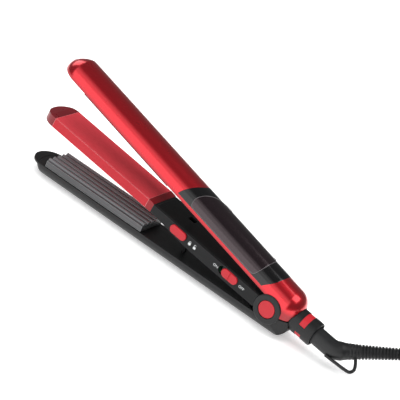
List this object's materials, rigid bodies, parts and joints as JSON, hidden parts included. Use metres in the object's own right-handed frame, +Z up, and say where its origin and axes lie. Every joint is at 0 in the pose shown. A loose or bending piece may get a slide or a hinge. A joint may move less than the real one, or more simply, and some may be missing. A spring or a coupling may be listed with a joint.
{
  "type": "hair crimper",
  "caption": "Handheld three-arm hair crimper and straightener with corrugated and flat heated plates, a lock slider, a slide switch and a swivel cord.",
  "frame": {"origin": "middle of the bounding box of everything but the cord, on the surface the bottom arm lies on", "axes": "+X from the tips to the cord end along the arms, +Y across the arms away from the side with the lock slider and switch, +Z up"},
  "size_m": [0.5688, 0.0709, 0.1022],
  "materials": {
    "red_metallic": "metallic candy red lacquer, gloss",
    "gloss_black": "gloss",
    "black_plastic": "satin",
    "red_ceramic": "satin ceramic coat",
    "red_plastic": "satin gloss",
    "titanium_grey": "satin titanium coat",
    "black_rubber": "matte",
    "steel": "plain",
    "brass": "plain",
    "heater_foil": "amber film",
    "circuit_board": "satin",
    "wire_red": "satin",
    "wire_white": "satin",
    "black_tie": "woven"
  },
  "bodies": {
    "middle_arm": {"middle_body": "black_plastic", "middle_cover": "black_plastic", "middle_screws": "steel", "slab_plate": "red_ceramic", "slab_nose_cap": "red_plastic", "slab_rear_band": "red_plastic", "middle_heater": "heater_foil", "middle_heater_clamp": "steel", "middle_heater_leads": "wire_white", "control_board": "circuit_board", "slide_switch": "black_plastic", "mains_leads": "wire_red", "hinge_pin": "steel", "hinge_nut": "steel", "pivot_washers": "steel", "pivot_caps": "red_plastic", "top_torsion_spring": "steel", "bottom_torsion_spring": "steel", "swivel_socket": "black_plastic", "socket_liner": "red_plastic", "brush_contacts": "brass", "cord_tube": "black_rubber", "cord_plug_lead": "black_rubber", "cord_coil": "black_rubber", "coil_tie": "black_tie", "plug_body": "black_rubber", "plug_pins": "steel"},
    "top_arm": {"top_shell": "red_metallic", "display_inlay": "gloss_black", "inlay_lens": "gloss_black", "top_inner_frame": "black_plastic", "top_plate": "red_ceramic", "top_heater": "heater_foil", "top_heater_clamp": "steel", "thermal_fuse": "steel", "top_heater_leads": "wire_white", "top_latch_hook": "black_plastic", "top_screws": "steel"},
    "bottom_arm": {"bottom_shell": "black_plastic", "bottom_inner_frame": "black_plastic", "crimp_plate": "titanium_grey", "bottom_heater": "heater_foil", "bottom_heater_clamp": "steel", "bottom_heater_leads": "wire_white", "bottom_latch_hook": "black_plastic", "bottom_screws": "steel"},
    "lock_slider": {"lock_button": "red_plastic", "latch_plate": "black_plastic"},
    "power_switch": {"power_switch_knob": "red_plastic"},
    "cord_swivel": {"strain_relief": "black_rubber", "swivel_core": "black_plastic", "slip_rings": "brass"}
  },
  "joints": [
    {"name": "top_arm_hinge", "type": "hinge", "parent": "middle_arm", "child": "top_arm", "pos_m": [0.09958, 0, 0.02], "axis": [0, -1, 0], "range_deg": [0, 8.25], "stiffness_Nm_per_rad": 0.5, "springref_deg": -28.65},
    {"name": "bottom_arm_hinge", "type": "hinge", "parent": "middle_arm", "child": "bottom_arm", "pos_m": [0.09958, 0, 0.02], "axis": [0, 1, 0], "range_deg": [0, 7.07], "stiffness_Nm_per_rad": 0.8, "springref_deg": -34.38},
    {"name": "lock_slide", "type": "slide", "parent": "middle_arm", "child": "lock_slider", "axis": [-0.9924, 0, 0.1231], "range_m": [-0.003, 0.003]},
    {"name": "power_slide", "type": "slide", "parent": "middle_arm", "child": "power_switch", "axis": [-0.9924, 0, 0.1231], "range_m": [0, 0.003]},
    {"name": "cord_swivel", "type": "hinge", "parent": "middle_arm", "child": "cord_swivel", "pos_m": [0.13715, 0, 0.01665], "axis": [0.9924, 0, -0.1231], "continuous": true}
  ]
}
